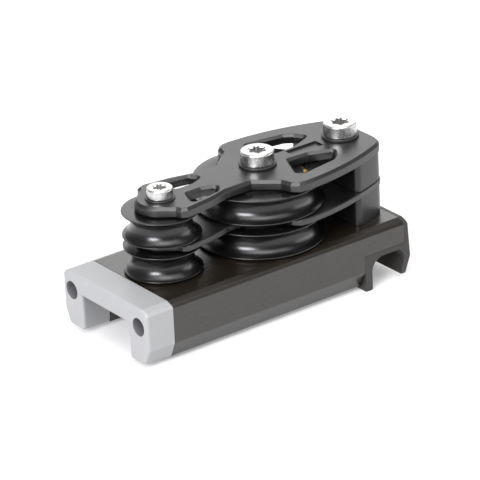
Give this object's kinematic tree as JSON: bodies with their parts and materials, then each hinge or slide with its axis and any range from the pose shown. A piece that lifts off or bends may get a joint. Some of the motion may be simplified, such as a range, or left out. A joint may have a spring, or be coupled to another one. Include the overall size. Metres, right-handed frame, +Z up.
{
  "type": "track end sheave block",
  "caption": "Sailing track end fitting: an inverted-U base that slides over a T-track carries two tiers of ball-bearing sheaves between cheek plates.",
  "frame": {"origin": "under the middle of the fitting, at the lowest point of the end cap's feet", "axes": "+X along the track from the bumper to the end cap, +Y across the track, +Z up along the sheaves' axles"},
  "size_m": [0.1254, 0.0542, 0.06],
  "materials": {
    "black_anodised_aluminium": "satin black hard anodised",
    "grey_plastic": "moulded, fine matt texture",
    "dark_grey_plastic": "moulded, satin",
    "black_sheave": "machined and polished, glossy black",
    "black_composite": "satin black",
    "stainless_steel": "bright stainless steel",
    "black_washer": "black nylon",
    "amber_balls": "amber high-strength plastic bearing balls"
  },
  "bodies": {
    "root": {"base_body": "black_anodised_aluminium", "middle_cheek": "black_anodised_aluminium", "top_cheek": "black_anodised_aluminium", "front_bumper": "grey_plastic", "rear_end_cap": "dark_grey_plastic", "lower_pillar": "black_composite", "upper_pillar": "black_composite", "front_sleeve": "stainless_steel", "middle_sleeve": "stainless_steel", "front_screw": "stainless_steel", "large_screws": "stainless_steel", "bumper_screws": "stainless_steel", "end_cap_screws": "stainless_steel", "front_washer": "black_washer", "large_washers": "black_washer", "lower_small_race": "black_composite", "lower_large_race": "black_composite", "upper_small_race": "black_composite", "upper_large_race": "black_composite"},
    "lower_small_sheave": {"lower_small_sheave": "black_sheave"},
    "lower_small_ball_rows": {"lower_small_balls": "amber_balls"},
    "lower_large_sheave": {"lower_large_sheave": "black_sheave"},
    "lower_large_ball_rows": {"lower_large_balls": "amber_balls"},
    "upper_small_sheave": {"upper_small_sheave": "black_sheave"},
    "upper_small_ball_rows": {"upper_small_balls": "amber_balls"},
    "upper_large_sheave": {"upper_large_sheave": "black_sheave"},
    "upper_large_ball_rows": {"upper_large_balls": "amber_balls"}
  },
  "joints": [
    {"name": "lower_small_sheave_spin", "type": "hinge", "parent": "root", "child": "lower_small_sheave", "pos_m": [-0.03475, 0, 0.03045], "axis": [0, 0, 1], "continuous": true},
    {"name": "lower_small_ball_rows_spin", "type": "hinge", "parent": "root", "child": "lower_small_ball_rows", "pos_m": [-0.03475, 0, 0.03045], "axis": [0, 0, 1], "continuous": true},
    {"name": "lower_large_sheave_spin", "type": "hinge", "parent": "root", "child": "lower_large_sheave", "pos_m": [0.01125, 0, 0.03045], "axis": [0, 0, 1], "continuous": true},
    {"name": "lower_large_ball_rows_spin", "type": "hinge", "parent": "root", "child": "lower_large_ball_rows", "pos_m": [0.01125, 0, 0.03045], "axis": [0, 0, 1], "continuous": true},
    {"name": "upper_small_sheave_spin", "type": "hinge", "parent": "root", "child": "upper_small_sheave", "pos_m": [-0.03475, 0, 0.04455], "axis": [0, 0, 1], "continuous": true},
    {"name": "upper_small_ball_rows_spin", "type": "hinge", "parent": "root", "child": "upper_small_ball_rows", "pos_m": [-0.03475, 0, 0.04455], "axis": [0, 0, 1], "continuous": true},
    {"name": "upper_large_sheave_spin", "type": "hinge", "parent": "root", "child": "upper_large_sheave", "pos_m": [0.01125, 0, 0.04455], "axis": [0, 0, 1], "continuous": true},
    {"name": "upper_large_ball_rows_spin", "type": "hinge", "parent": "root", "child": "upper_large_ball_rows", "pos_m": [0.01125, 0, 0.04455], "axis": [0, 0, 1], "continuous": true}
  ],
  "couplings": [
    {"joint": "lower_small_ball_rows_spin", "follows": "lower_small_sheave_spin", "ratio": 0.571},
    {"joint": "lower_large_ball_rows_spin", "follows": "lower_large_sheave_spin", "ratio": 0.5383},
    {"joint": "upper_small_ball_rows_spin", "follows": "upper_small_sheave_spin", "ratio": 0.571},
    {"joint": "upper_large_ball_rows_spin", "follows": "upper_large_sheave_spin", "ratio": 0.5383}
  ]
}
